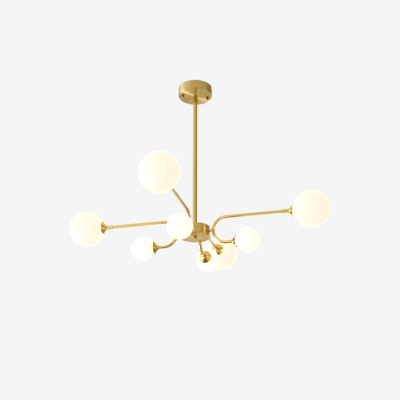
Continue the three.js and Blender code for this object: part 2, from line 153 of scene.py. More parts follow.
class ChandelierSizes(bpy.types.PropertyGroup):
    """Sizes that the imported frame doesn't hold."""

    sheet_wall: length_property("Sheet wall", "Wall of the canopy and the hub", 1.2)
    canopy_edge: length_property("Canopy edge", "Radius of the canopy's lower edge", 2.5)
    hub_edge: length_property("Hub edge", "Radius of the hub's upper edge", 1.5)
    plate_edge: length_property("Plate edge", "Radius of the base plate's edge", 0.8)
    fine_edge: length_property("Fine edge", "Rounding of the small turned edges", 0.4)
    thread_hole: length_property("Thread hole", "Diameter of the holes that the rod passes", 10.6)
    screw_hole: length_property("Screw hole", "Diameter of the holes for the canopy's screws", 4.6)
    screw_dome: length_property("Screw dome", "Height of the dome on a canopy screw", 2)
    screw_groove: length_property("Screw groove", "From the canopy to a screw's groove", 1.6)
    groove: length_property("Groove", "Depth of the grooves in the screws and ferrules", 0.5)
    rod_bore: length_property("Rod bore", "Diameter of the wires' way through the rod", 7)
    finial_dome: length_property("Finial dome", "Height of the dome on the finial", 4)
    finial_floor: length_property("Finial floor", "Brass below the finial's bore", 2.5)
    tube_wall: length_property("Tube wall", "Wall of the branch tubes", 1.0)
    stub_shank: length_property("Stub shank", "Diameter of the stubs in the hub's wall", 8)
    stub_collar: length_property("Stub collar", "Length of the collar's straight part", 2)
    stub_waist: length_property("Stub waist", "Diameter of the stubs at the tube's back", 7)
    stub_tip: length_property("Stub tip", "How far a stub goes into the tube's back", 1.2)
    ferrule_groove: length_property("Ferrule groove", "From a ferrule's end to its groove", 3)
    large_cup_neck: length_property("Large cup neck", "Diameter where the tube enters", 14)
    small_cup_neck: length_property("Small cup neck", "Diameter where the tube enters", 13)
    cup_socket: length_property("Cup socket", "How far a tube's end goes into its cup", 3)
    cup_wall: length_property("Cup wall", "Wall of the trumpet-shaped cups", 1.2)
    cup_neck_wall: length_property("Cup neck wall", "Wall of the cups at the tube's end", 1.08)
    globe_wall: length_property("Globe wall", "Wall of the glass globes", 2.2)
    globe_neck: length_property("Globe neck", "Diameter of the short open neck in the cup", 30)
    neck_length: length_property("Neck length", "Length of the neck behind the ball", 5.1)
    turned_steps: steps_property("Turned steps", "Faces round the canopy, hub and globes", 96)
    small_steps: steps_property("Small steps", "Faces round the rod and the small pieces", 48)
    tube_steps: steps_property("Tube steps", "Faces round the branch tubes", 32)
    bend_steps: steps_property("Bend steps", "Rings along each bend", 40)


class ChandelierFinishes(bpy.types.PropertyGroup):
    """Colours of the finishes, and how bright the globes are."""

    brushed_brass: colour_property("Brushed brass", "Canopy and hub", "#E2C174")
    polished_brass: colour_property("Polished brass", "Branches' metal and the finial", "#E4C264")
    rod_brass: colour_property("Drawn brass", "Drop rod", "#D6B061")
    # The canopy screws' colour is their brass painted darker: painted shade
    screw_painted_shade: colour_property("Screws, painted shade", "The canopy's two screws", "#8F6428")
    zinc: colour_property("Zinc plate", "Crossbar and the rod's nuts", "#B9BCC0")
    steatite: colour_property("Steatite", "Lamp holders", "#EFECE4")
    nylon: colour_property("Nylon", "Terminal block", "#E6E4DC")
    opal: colour_property("Opal glass", "Globes, by the light that falls on them", "#BCBEC2")
    glow: colour_property("Glow", "Light given off by a lit globe", "#FFECD4")
    warm_glow: colour_property("Warm glow", "Light through a thinner white layer", "#FFE7C8")
    large_glow: strength_property("Large glow", "How bright the large globes are", 0.92)
    small_glow: strength_property("Small glow", "How bright the small globes are", 1.15)
    lamp: colour_property("Lamp", "A lit globe as brass mirrors it", "#FFE098")
    large_lamp: strength_property("Large lamps", "How bright brass mirrors large globes", 4.6)
    small_lamp: strength_property("Small lamps", "How bright brass mirrors small globes", 1.2)
    back_lamp: strength_property("Back lamp", "How bright brass mirrors the back globe", 0.45)


class ChandelierStage(bpy.types.PropertyGroup):
    """Where the camera stands and how the stage is lit."""

    lens: bpy.props.FloatProperty(
        name="Lens", description="Focal length on a 36 mm wide sensor", default=62.24, min=1.0
    )
    distance: length_property("Distance", "Camera to the rod's axis, on the level", 2156.1)
    drop: length_property("Drop", "Camera below the hub's base plate", 762.8)
    azimuth: angle_property("Azimuth", "Camera's place round the rod", 15)
    yaw: angle_property("Yaw", "Turn to the right of the rod", 0.45)
    pitch: angle_property("Pitch", "Tilt above the level", 22.57)
    backdrop: colour_property("Backdrop", "The pale ground behind the object", "#F5F5F5")
    paleness: strength_property("Paleness", "How far the floor looks evenly pale, up to 1", 0.9)
    window: colour_property("Window", "The bright side of the room, for metal to mirror", "#C4D4FF")
    window_strength: strength_property("Window strength", "How bright the window is", 2.2)
    low_window_strength: strength_property("Low window", "How bright the low window is", 8.8)
    curtain_strength: strength_property("Curtain", "How bright the pale curtain is", 1.25)
    room: colour_property("Room", "The near side of the room, for metal to mirror", "#E2DAC4")
    shade: colour_property("Shade", "The side of the room away from the window", "#C8BEA4")
    flag: colour_property("Flag", "A dark board out of view, for metal to mirror", "#9E9274")
    card: colour_property("Card", "Darker boards behind and below the branches", "#857757")
    daylight: colour_property("Daylight", "The large soft light from the left", "#C4D4FF")
    daylight_power: strength_property("Daylight power", "Power of the soft light in watts", 20)
    fill: strength_property("Fill", "Strength of the even light from all round", 0.3)


def deselect():
    """An operator acts on all that is selected, so nothing is left selected."""
    bpy.ops.object.select_all(action="DESELECT")


def pick(piece):
    """Leaves this piece alone selected and active."""
    deselect()
    piece.select_set(True)
    bpy.context.view_layer.objects.active = piece


def edit():
    """Enters edit mode with the whole mesh selected."""
    bpy.ops.object.mode_set(mode="EDIT")
    bpy.ops.mesh.select_all(action="SELECT")


def apply_place():
    """Puts the selected object at the origin, with its place, turn and scale in its mesh."""
    bpy.ops.object.transform_apply(location=True, rotation=True, scale=True)


def smooth():
    """Shades the selected object as round, apart from its sharp edges."""
    bpy.ops.object.shade_smooth_by_angle(angle=SHARP)


def settle(name):
    """Ends edit mode, applies the object's place, and shades and names it."""
    bpy.ops.object.mode_set(mode="OBJECT")
    apply_place()
    smooth()
    piece = bpy.context.object
    piece.name = name
    piece.data.name = name
    return piece


def clean():
    """Merges seams and poles, then turns all faces outwards."""
    bpy.ops.mesh.select_all(action="SELECT")
    bpy.ops.mesh.remove_doubles(threshold=MERGED)
    bpy.ops.mesh.normals_make_consistent(inside=False)


def turned(name, profile, steps, axis="Z", height=0.0):
    """A closed profile of (radius, place along the axis) points, drawn by extruding one corner of a
    plane and spun about Z, or about X at the given height."""

    def point(radius, along):
        if axis == "Z":
            return Vector((radius, 0, along))
        return Vector((along, 0, height + radius))

    corners = [point(*corner) for corner in profile]
    deselect()
    bpy.ops.mesh.primitive_plane_add(size=MM, location=corners[0])
    edit()
    bpy.ops.mesh.merge(type="CENTER")
    for here, there in zip(corners, corners[1:]):
        bpy.ops.mesh.extrude_region_move(TRANSFORM_OT_translate={"value": there - here})
    bpy.ops.mesh.select_all(action="SELECT")
    bpy.ops.mesh.remove_doubles(threshold=MERGED)
    direction = (0, 0, 1) if axis == "Z" else (1, 0, 0)
    centre = (0, 0, 0) if axis == "Z" else (0, 0, height)
    bpy.ops.mesh.spin(steps=steps, angle=2 * math.pi, center=centre, axis=direction)
    clean()
    return settle(name)


def quarter_round(centre_radius, centre_along, radius, start, end, steps=6):
    """Points of a rounded corner between two angles."""
    angles = [start + (end - start) * step / steps for step in range(steps + 1)]
    return [
        (centre_radius + radius * math.cos(angle), centre_along + radius * math.sin(angle))
        for angle in angles
    ]


def quarter_oval(start, end, steps=6):
    """Points of a quarter oval, which leaves its first (radius, place along the axis) point square
    to the axis and comes to its last one along it."""
    angles = [QUARTER_TURN * step / steps for step in range(steps + 1)]
    return [
        (
            start[0] + (end[0] - start[0]) * math.sin(angle),
            start[1] + (end[1] - start[1]) * (1 - math.cos(angle)),
        )
        for angle in angles
    ]


def modify(kind, **settings):
    """Adds a modifier to the active object and applies it."""
    bpy.ops.object.modifier_add(type=kind)
    modifier = bpy.context.object.modifiers[-1]
    for name, value in settings.items():
        setattr(modifier, name, value)
    bpy.ops.object.modifier_apply(modifier=modifier.name)


def round_edges(piece, width, segments=3):
    """Rounds the active piece's edges, and shades it again."""
    modify("BEVEL", width=width, segments=segments, limit_method="ANGLE", angle_limit=ROUNDED)
    smooth()
    return piece


def round_thin_edges(piece, sizes):
    """Rounds edges half as wide as the small turned ones, for sheet and other fine shapes."""
    return round_edges(piece, sizes.fine_edge / 2, segments=2)


def drill(piece, places, diameter, bottom, top, steps=32):
    """Cuts straight round holes along Z through the piece."""
    for x, y in places:
        deselect()
        bpy.ops.mesh.primitive_cylinder_add(
            vertices=steps,
            radius=diameter / 2,
            depth=top - bottom,
            location=(x, y, (top + bottom) / 2),
        )
        bit = bpy.context.object
        pick(piece)
        modify("BOOLEAN", operation="DIFFERENCE", object=bit, solver="EXACT")
        bpy.data.objects.remove(bit)


def finish_piece(piece, body, slot, finish, *nodes):
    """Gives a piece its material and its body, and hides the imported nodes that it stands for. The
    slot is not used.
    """
    piece.data.materials.clear()
    piece.data.materials.append(finish)
    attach(piece, body)
    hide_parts(*nodes)


def copied(piece, name, place=(0, 0, 0), turn=0.0):
    """A copy of a piece with its own mesh, turned about Z and moved to its place."""
    pick(piece)
    bpy.ops.object.duplicate()
    copy = bpy.context.object
    copy.location = place
    copy.rotation_euler = (0, 0, turn)
    apply_place()
    copy.name = name
    copy.data.name = name
    return copy


def on_each_branch(piece, name, slot, finish, node, back_finish=None):
    """Puts copies of the first branch's piece on all branches in its stead. The back branch's copy
    may have a finish of its own."""
    for branch in BRANCHES:
        copy = copied(piece, f"{name}_{branch}", turn=(branch - 1) * QUARTER_TURN)
        own = back_finish if back_finish and branch == BACK_BRANCH else finish
        finish_piece(copy, f"branch_{branch}", slot, own, f"branch_{branch}_{node}")
    bpy.data.objects.remove(piece)


def dress(node, finish):
    """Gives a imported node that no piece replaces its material."""
    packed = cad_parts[node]
    if not packed.material_slots:
        packed.data.materials.append(finish)
    for slot in packed.material_slots:
        slot.material = finish


def material(name):
    """A material with no nodes yet."""
    made = bpy.data.materials.new(name)
    made.use_nodes = True
    made.node_tree.nodes.clear()
    return made


def add(made, kind, inputs=None, **settings):
    """Adds a node to a material or world, with its settings, and sets or links its inputs."""
    node = made.node_tree.nodes.new(kind)
    for name, value in settings.items():
        setattr(node, name, value)
    for name, value in (inputs or {}).items():
        if isinstance(value, bpy.types.NodeSocket):
            made.node_tree.links.new(value, node.inputs[name])
        else:
            node.inputs[name].default_value = value
    return node


def per_metre(millimetres):
    """The scale of a pattern that repeats every so many millimetres."""
    return 1 / (millimetres * MM)


def scaled(colour, shares):
    """A colour with its red, green and blue each multiplied by a share."""
    return [part * share for part, share in zip(colour[:3], shares)] + [1.0]


# Most of a noise pattern's values lie between these two
NOISE_LOW = 0.3
NOISE_HIGH = 0.7

# The height of the finest relief, such as scratches and grain
RELIEF = 0.05 * MM


# Brass sheet, turned and then brushed on the lathe: rings of fine scratches draw light out into
# two opposite fans on a flat face, and into upright bands on a wall. Real scratches are about
# 0.05 mm wide; they are drawn 2.4 mm apart and 30 times as long, so that some of them show. The
# roughness drifts between its two values over patches of 24 mm, as handling leaves it.
def brushed_brass(colour, name, roughness):
    scratch_spacing = 2.4
    scratch_stretch = 30
    scratch_edge = 0.62
    scratch_shade = (0.68, 0.68, 0.68)
    patch_width = 24
    made = material(name)
    place = add(made, "ShaderNodeTexCoord").outputs["Object"]
    split = add(made, "ShaderNodeSeparateXYZ", {0: place})
    flat = add(made, "ShaderNodeCombineXYZ", {0: split.outputs[0], 1: split.outputs[1]})
    radius = add(made, "ShaderNodeVectorMath", {0: flat.outputs[0]}, operation="LENGTH")
    depth = add(
        made,
        "ShaderNodeMath",
        {0: radius.outputs["Value"], 1: split.outputs[2]},
        operation="ADD",
    )
    along = add(
        made,
        "ShaderNodeVectorMath",
        {0: flat.outputs[0], "Scale": 1 / scratch_stretch},
        operation="SCALE",
    )
    across = add(made, "ShaderNodeCombineXYZ", {2: depth.outputs[0]})
    grain = add(
        made,
        "ShaderNodeVectorMath",
        {0: along.outputs[0], 1: across.outputs[0]},
        operation="ADD",
    )
    scratch = add(
        made,
        "ShaderNodeTexNoise",
        {
            "Vector": grain.outputs[0],
            "Scale": per_metre(scratch_spacing),
            "Detail": 4.0,
            "Roughness": 0.65,
        },
    )
    patch = add(
        made,
        "ShaderNodeTexNoise",
        {"Vector": place, "Scale": per_metre(patch_width), "Detail": 3.0},
    )
    sharp = add(
        made,
        "ShaderNodeMapRange",
        {"Value": scratch.outputs["Fac"], "From Min": NOISE_LOW, "From Max": scratch_edge},
    )
    tone = add(
        made,
        "ShaderNodeMix",
        {
            "Factor": sharp.outputs["Result"],
            "A": scaled(colour, scratch_shade),
            "B": list(colour),
        },
        data_type="RGBA",
    )
    rough = add(
        made,
        "ShaderNodeMapRange",
        {
            "Value": patch.outputs["Fac"],
            "From Min": NOISE_LOW,
            "From Max": NOISE_HIGH,
            "To Min": roughness[0],
            "To Max": roughness[1],
        },
    )
    bump = add(
        made,
        "ShaderNodeBump",
        {"Height": scratch.outputs["Fac"], "Strength": 0.15, "Distance": RELIEF},
    )
    round_z = add(made, "ShaderNodeTangent", direction_type="RADIAL", axis="Z")
    shader = add(
        made,
        "ShaderNodeBsdfPrincipled",
        {
            "Base Color": tone.outputs["Result"],
            "Metallic": 1.0,
            "Roughness": rough.outputs["Result"],
            "Anisotropic": 1.0,
            "Anisotropic Rotation": 0.25,
            "Normal": bump.outputs["Normal"],
            "Tangent": round_z.outputs["Tangent"],
        },
    )
    add(made, "ShaderNodeOutputMaterial", {"Surface": shader.outputs[0]})
    return made


# Brass tube, spun cups and turned small parts, buffed, and lacquered on the branches: near-mirror
# bands with a soft, slightly uneven edge, because hand buffing leaves low waves a few centimetres
# long. The drawn rod is the same with more roughness, which gives it a satin face.
def polished_brass(colour, name, roughness, lacquer=0.0):
    wave_length = 30
    trough_shade = (0.94, 0.92, 0.84)
    made = material(name)
    place = add(made, "ShaderNodeTexCoord").outputs["Object"]
    wave = add(
        made,
        "ShaderNodeTexNoise",
        {"Vector": place, "Scale": per_metre(wave_length), "Detail": 3.0},
    )
    tone = add(
        made,
        "ShaderNodeMix",
        {
            "Factor": wave.outputs["Fac"],
            "A": scaled(colour, trough_shade),
            "B": list(colour),
        },
        data_type="RGBA",
    )
    rough = add(
        made,
        "ShaderNodeMapRange",
        {
            "Value": wave.outputs["Fac"],
            "From Min": NOISE_LOW,
            "From Max": NOISE_HIGH,
            "To Min": roughness[0],
            "To Max": roughness[1],
        },
    )
    shader = add(
        made,
        "ShaderNodeBsdfPrincipled",
        {
            "Base Color": tone.outputs["Result"],
            "Metallic": 1.0,
            "Roughness": rough.outputs["Result"],
            "Coat Weight": lacquer,
        },
    )
    add(made, "ShaderNodeOutputMaterial", {"Surface": shader.outputs[0]})
    return made


# Blown opal glass, lit from inside: the flashed white layer spreads the bulb's warm light evenly,
# a little deeper in tone where the layer is thinner. A small globe is brighter, because an equal
# bulb lights less glass. Daylight on the outside makes it whiter on one side. A lit globe is
# brighter than white can show, so brass mirrors it brighter still. The back globe is mirrored
# dimmer, or it would wash out its own leg, which the camera sees nearly end on.
def opal_glass(finishes, name, glow_strength, lamp_strength):
    layer_width = 45
    lamp_share = lamp_strength / glow_strength
    made = material(name)
    place = add(made, "ShaderNodeTexCoord").outputs["Object"]
    layer = add(
        made,
        "ShaderNodeTexNoise",
        {"Vector": place, "Scale": per_metre(layer_width), "Detail": 2.0},
    )
    tone = add(
        made,
        "ShaderNodeMix",
        {
            "Factor": layer.outputs["Fac"],
            "A": list(finishes.glow),
            "B": list(finishes.warm_glow),
        },
        data_type="RGBA",
    )
    path = add(made, "ShaderNodeLightPath")
    glow = add(
        made,
        "ShaderNodeMix",
        {
            "Factor": path.outputs["Is Glossy Ray"],
            "A": tone.outputs["Result"],
            "B": scaled(finishes.lamp, (lamp_share, lamp_share, lamp_share)),
        },
        data_type="RGBA",
    )
    shader = add(
        made,
        "ShaderNodeBsdfPrincipled",
        {
            "Base Color": list(finishes.opal),
            "Roughness": 0.35,
            "IOR": 1.5,
            "Specular IOR Level": 0.3,
            "Emission Color": glow.outputs["Result"],
            "Emission Strength": glow_strength,
        },
    )
    add(made, "ShaderNodeOutputMaterial", {"Surface": shader.outputs[0]})
    return made


# Zinc-plated steel: a dull, faintly cloudy grey metal with a spangle of a few millimetres.
def zinc_steel(colour):
    spangle_width = 4
    made = material("steel, zinc plated")
    place = add(made, "ShaderNodeTexCoord").outputs["Object"]
    spangle = add(
        made, "ShaderNodeTexVoronoi", {"Vector": place, "Scale": per_metre(spangle_width)}
    )
    rough = add(
        made,
        "ShaderNodeMapRange",
        {"Value": spangle.outputs["Distance"], "From Max": 1.0, "To Min": 0.32, "To Max": 0.5},
    )
    shader = add(
        made,
        "ShaderNodeBsdfPrincipled",
        {"Base Color": list(colour), "Metallic": 1.0, "Roughness": rough.outputs["Result"]},
    )
    add(made, "ShaderNodeOutputMaterial", {"Surface": shader.outputs[0]})
    return made


# Moulded or pressed parts that aren't metal: nylon has a fine satin grain, and glazed steatite a
# smoother gloss, so the two differ in grain width and roughness.
def plain_moulding(name, colour, grain_width, roughness):
    made = material(name)
    place = add(made, "ShaderNodeTexCoord").outputs["Object"]
    speck = add(
        made,
        "ShaderNodeTexNoise",
        {"Vector": place, "Scale": per_metre(grain_width), "Detail": 3.0},
    )
    bump = add(
        made,
        "ShaderNodeBump",
        {"Height": speck.outputs["Fac"], "Strength": 0.1, "Distance": RELIEF},
    )
    shader = add(
        made,
        "ShaderNodeBsdfPrincipled",
        {"Base Color": list(colour), "Roughness": roughness, "Normal": bump.outputs["Normal"]},
    )
    add(made, "ShaderNodeOutputMaterial", {"Surface": shader.outputs[0]})
    return made


# A lit capsule bulb: its quartz envelope is hidden by its own light.
def lit_capsule(finishes):
    made = material("quartz capsule, lit")
    shader = add(
        made,
        "ShaderNodeBsdfPrincipled",
        {
            "Base Color": list(finishes.glow),
            "Roughness": 0.1,
            "Emission Color": list(finishes.warm_glow),
            "Emission Strength": 2.0,
        },
    )
    add(made, "ShaderNodeOutputMaterial", {"Surface": shader.outputs[0]})
    return made


def facing(ahead):
    """The turn of a camera, light or board that faces this way with its top upwards."""
    return ahead.to_track_quat("-Z", "Y").to_euler()


class CHANDELIER_OT_camera(bpy.types.Operator):
    """Stands the camera below the globes, where the object was seen from"""

    bl_idname = "chandelier.camera"
    bl_label = "Camera"

    def execute(self, context):
        stage = context.scene.chandelier_stage
        deselect()
        x = stage.distance * math.sin(stage.azimuth)
        y = -stage.distance * math.cos(stage.azimuth)
        z = low("hub_base_plate").z - stage.drop
        bpy.ops.object.camera_add(location=(x, y, z))
        camera = context.object
        heading = QUARTER_TURN + stage.azimuth - stage.yaw
        level = math.cos(stage.pitch)
        ahead = (level * math.cos(heading), level * math.sin(heading), math.sin(stage.pitch))
        camera.rotation_euler = facing(Vector(ahead))
        camera.data.lens = stage.lens
        camera.data.sensor_width = SENSOR_WIDTH
        camera.data.clip_end = VIEW_DEPTH
        context.scene.camera = camera
        return {"FINISHED"}


class CHANDELIER_OT_canopy(bpy.types.Operator):
    """Models the canopy and its two screws, and finishes what is inside it"""

    bl_idname = "chandelier.canopy"
    bl_label = "Canopy"

    def execute(self, context):
        sizes = context.scene.chandelier_sizes
        finishes = context.scene.chandelier_finishes
        screws = ("canopy_screw_1", "canopy_screw_2")
        places = [(middle(screw, 0), middle(screw, 1)) for screw in screws]
        shell = self.shell(sizes, places)
        name = "brass, brushed, canopy"
        brass = brushed_brass(finishes.brushed_brass, name, roughness=(0.37, 0.43))
        finish_piece(shell, FRAME_BODY, "brass", brass, "canopy")
        # The screws' brass is painted darker, as painted shade
        name = "bronze screw, turned"
        painted_shade_brass = polished_brass(finishes.screw_painted_shade, name, roughness=(0.12, 0.2))
        screw = self.screw(sizes, screws[0])
        for number, (node, (x, y)) in enumerate(zip(screws, places), start=1):
            copy = copied(screw, f"canopy_cap_screw_{number}", place=(x, y, 0))
            finish_piece(copy, FRAME_BODY, "brass", painted_shade_brass, node)
        bpy.data.objects.remove(screw)
        steel = zinc_steel(finishes.zinc)
        dress("ceiling_crossbar", steel)
        dress("rod_canopy_nut", steel)
        nylon = plain_moulding("nylon, moulded", finishes.nylon, grain_width=1.5, roughness=0.5)
        dress("terminal_block", nylon)
        return {"FINISHED"}

    def shell(self, sizes, screw_places):
        """A shallow cup of sheet, open above, with holes for the rod and the screws."""
        radius = extent("canopy", 0) / 2
        bottom = low("canopy").z
        top = high("canopy").z
        wall = sizes.sheet_wall
        edge = sizes.canopy_edge
        hole = sizes.thread_hole / 2
        outer = [
            (hole, bottom),
            *quarter_round(radius - edge, bottom + edge, edge, -QUARTER_TURN, 0),
        ]
        inner = [
            (radius, top),
            (radius - wall, top),
            *quarter_round(radius - edge, bottom + edge, edge - wall, 0, -QUARTER_TURN),
            (hole, bottom + wall),
        ]
        shell = turned("canopy_shell", [*outer, *inner, outer[0]], sizes.turned_steps)
        drill(shell, screw_places, sizes.screw_hole, bottom - wall, bottom + 2 * wall)
        return round_thin_edges(shell, sizes)

    def screw(self, sizes, node):
        """A shank with a domed cylindrical head that has one turned groove."""
        head_radius = extent(node, 0) / 2
        bottom = low(node).z
        top = high(node).z
        seat = low("canopy").z - SEAT_GAP
        shank = sizes.screw_hole / 2 - SEAT_GAP
        groove = sizes.groove
        waist = seat - sizes.screw_groove
        profile = [
            *quarter_oval((0, bottom), (head_radius, bottom + sizes.screw_dome)),
            (head_radius, waist - groove),
            (head_radius - groove, waist - groove / 2),
            (head_radius - groove, waist + groove / 2),
            (head_radius, waist + groove),
            (head_radius, seat),
            (shank, seat),
            (shank, top),
            (0, top),
        ]
        return turned("cap_screw", profile, sizes.small_steps)


class CHANDELIER_OT_drop_rod(bpy.types.Operator):
    """Models the drop rod with its two threaded ends"""

    bl_idname = "chandelier.drop_rod"
    bl_label = "Drop rod"

    def execute(self, context):
        sizes = context.scene.chandelier_sizes
        finishes = context.scene.chandelier_finishes
        bottom = low("drop_rod").z
        top = high("drop_rod").z
        radius = extent("drop_rod", 0) / 2
        thread = sizes.thread_hole / 2 - SEAT_GAP
        bore = sizes.rod_bore / 2
        shoulder_top = low("canopy").z - SEAT_GAP
        shoulder_bottom = high("hub_body").z + SEAT_GAP
        profile = [
            (bore, bottom),
            (thread, bottom),
            (thread, shoulder_bottom),
            (radius, shoulder_bottom),
            (radius, shoulder_top),
            (thread, shoulder_top),
            (thread, top),
            (bore, top),
            (bore, bottom),
        ]
        rod = round_edges(turned("rod_tube", profile, sizes.small_steps), sizes.fine_edge)
        name = "brass tube, drawn and satin"
        brass = polished_brass(finishes.rod_brass, name, roughness=(0.22, 0.3))
        finish_piece(rod, FRAME_BODY, "brass", brass, "drop_rod")
        return {"FINISHED"}


class CHANDELIER_OT_hub(bpy.types.Operator):
    """Models the hub's drum, its base plate and the finial below it, and finishes its nut"""

    bl_idname = "chandelier.hub"
    bl_label = "Hub"

    def execute(self, context):
        sizes = context.scene.chandelier_sizes
        finishes = context.scene.chandelier_finishes
        name = "brass, brushed, hub"
        brass = brushed_brass(finishes.brushed_brass, name, roughness=(0.26, 0.32))
        finish_piece(self.drum(sizes), FRAME_BODY, "brass", brass, "hub_body")
        finish_piece(self.plate(sizes), FRAME_BODY, "brass", brass, "hub_base_plate")
        name = "brass finial, turned"
        small_brass = polished_brass(finishes.polished_brass, name, roughness=(0.2, 0.28))
        finish_piece(self.finial(sizes), FRAME_BODY, "brass", small_brass, "hub_finial")
        dress("rod_hub_nut", zinc_steel(finishes.zinc))
        return {"FINISHED"}

    def drum(self, sizes):
        """A shallow cup of sheet, open below, with a hole for the rod."""
        radius = extent("hub_body", 0) / 2
        bottom = low("hub_body").z
        top = high("hub_body").z
        wall = sizes.sheet_wall
        edge = sizes.hub_edge
        hole = sizes.thread_hole / 2
        outer = [
            (radius, bottom),
            *quarter_round(radius - edge, top - edge, edge, 0, QUARTER_TURN),
        ]
        inner = [
            (hole, top),
            (hole, top - wall),
            (radius - wall, top - wall),
            (radius - wall, bottom),
        ]
        drum = turned("hub_drum", [*outer, *inner, outer[0]], sizes.turned_steps)
        return round_thin_edges(drum, sizes)

    def plate(self, sizes):
        """A round plate with both edges rounded, which closes the drum from below."""
        radius = extent("hub_base_plate", 0) / 2
        bottom = low("hub_base_plate").z
        top = low("hub_body").z - SEAT_GAP
        edge = sizes.plate_edge
        hole = sizes.thread_hole / 2
        outer = [
            (hole, bottom),
            *quarter_round(radius - edge, bottom + edge, edge, -QUARTER_TURN, 0),
            *quarter_round(radius - edge, top - edge, edge, 0, QUARTER_TURN),
        ]
        return turned("hub_plate", [*outer, (hole, top), outer[0]], sizes.turned_steps)

    def finial(self, sizes):
        """A low round nut with a domed face and a blind bore."""
        radius = extent("hub_finial", 0) / 2
        bottom = low("hub_finial").z
        top = high("hub_finial").z
        hole = sizes.thread_hole / 2
        bore_end = bottom + sizes.finial_floor
        profile = [
            *quarter_oval((0, bottom), (radius, bottom + sizes.finial_dome), steps=10),
            (radius, top),
            (hole, top),
            (hole, bore_end),
            (0, bore_end),
        ]
        return round_edges(turned("finial_nut", profile, sizes.small_steps), sizes.fine_edge)


class CHANDELIER_OT_branches(bpy.types.Operator):
    """Models the bent tubes with their stubs, ferrules and cups, and finishes the stubs' nuts"""

    bl_idname = "chandelier.branches"
    bl_label = "Branches"

    def execute(self, context):
        sizes = context.scene.chandelier_sizes
        finishes = context.scene.chandelier_finishes
        name = "brass, buffed and lacquered"
        brass = polished_brass(finishes.polished_brass, name, roughness=(0.1, 0.17), lacquer=1.0)
        on_each_branch(self.tube(sizes), "bent_tube", "brass", brass, "tube")
        on_each_branch(self.stub(sizes), "stub", "brass", brass, "swivel_stub")
        on_each_branch(self.ferrule(sizes), "sleeve", "brass", brass, "ferrule")
        for size in ("large", "small"):
            cup = self.cup(sizes, size)
            on_each_branch(cup, f"{size}_trumpet", "brass", brass, f"{size}_cup")
        for branch in BRANCHES:
            dress(f"branch_{branch}_stub_nut", brass)
        return {"FINISHED"}

    def tube(self, sizes):
        """A ring of edges drawn along the upper leg, spun round the bend and drawn along the
        lower leg."""
        node = "branch_1_tube"
        radius = tube_radius()
        upper = middle("branch_1_large_globe", 2)
        lower = middle("branch_1_small_globe", 2)
        bend_radius = (upper - lower) / 2
        bend_centre = (low(node).x + radius + bend_radius, 0, (upper + lower) / 2)
        upper_end = high(node).x
        lower_end = low("branch_1_small_cup").x + sizes.cup_socket
        deselect()
        bpy.ops.mesh.primitive_circle_add(
            vertices=sizes.tube_steps,
            radius=radius,
            location=(upper_end, 0, upper),
            rotation=(0, QUARTER_TURN, 0),
        )
        edit()
        along = (bend_centre[0] - upper_end, 0, 0)
        bpy.ops.mesh.extrude_region_move(TRANSFORM_OT_translate={"value": along})
        bpy.ops.mesh.spin(
            steps=sizes.bend_steps, angle=math.pi, center=bend_centre, axis=(0, 1, 0)
        )
        along = (lower_end - bend_centre[0], 0, 0)
        bpy.ops.mesh.extrude_region_move(TRANSFORM_OT_translate={"value": along})
        clean()
        tube = settle("bent_tube")
        modify("SOLIDIFY", thickness=sizes.tube_wall, offset=-1.0)
        smooth()
        return tube

    def stub(self, sizes):
        """A collar against the hub, waisted down to the tube's back, on a shank through the
        hub's wall."""
        node = "branch_1_swivel_stub"
        height = middle(node, 2)
        inside = low(node).x
        shank = sizes.stub_shank / 2
        start = extent("hub_body", 0) / 2 + SEAT_GAP
        collar = extent(node, 1) / 2
        collar_end = start + sizes.stub_collar
        waist = sizes.stub_waist / 2
        back = low("branch_1_tube").x
        end = back + sizes.stub_tip
        profile = [
            (0, inside),
            (shank, inside),
            (shank, start),
            (collar, start),
            *quarter_oval((collar, collar_end), (waist, back)),
            (waist, end),
            (0, end),
        ]
        stub = turned("stub", profile, sizes.small_steps, "X", height)
        return round_thin_edges(stub, sizes)

    def ferrule(self, sizes):
        """A turned sleeve with a shallow groove near each end."""
        node = "branch_1_ferrule"
        height = middle(node, 2)
        radius = extent(node, 2) / 2
        start = low(node).x
        end = high(node).x
        bore = tube_radius() + SLIDE_GAP
        groove = sizes.groove
        inset = sizes.ferrule_groove
        profile = [
            (bore, start),
            (radius, start),
            (radius, start + inset - groove),
            (radius - groove, start + inset),
            (radius, start + inset + groove),
            (radius, end - inset - groove),
            (radius - groove, end - inset),
            (radius, end - inset + groove),
            (radius, end),
            (bore, end),
            (bore, start),
        ]
        sleeve = turned("sleeve", profile, sizes.small_steps, "X", height)
        return round_edges(sleeve, sizes.fine_edge)

    def cup(self, sizes, size):
        """A trumpet from a short neck to a rim round the globe's own neck."""
        node = f"branch_1_{size}_cup"
        height = middle(f"branch_1_{size}_globe", 2)
        start = low(node).x
        rim = high(node).x
        rim_radius = extent(node, 1) / 2
        neck = {"large": sizes.large_cup_neck, "small": sizes.small_cup_neck}[size] / 2
        inner_neck = neck - sizes.cup_neck_wall
        bore = tube_radius() + SLIDE_GAP
        wall = sizes.cup_wall
        socket = start + sizes.cup_socket
        outer = [(neck, start), *self.flare(neck, rim_radius, start + wall, rim - wall)]
        inner = [
            *reversed(self.flare(inner_neck, rim_radius, socket, rim)),
            (bore, socket),
            (bore, start),
        ]
        trumpet = turned("trumpet", [*outer, *inner, outer[0]], sizes.small_steps, "X", height)
        return round_thin_edges(trumpet, sizes)

    def flare(self, start_radius, end_radius, start, end, steps=14, power=1.4):
        """Points that open out from a neck to a rim; a power of 1 would be a straight cone."""
        shares = [step / steps for step in range(steps + 1)]
        return [
            (
                start_radius + (end_radius - start_radius) * share**power,
                start + (end - start) * share,
            )
            for share in shares
        ]


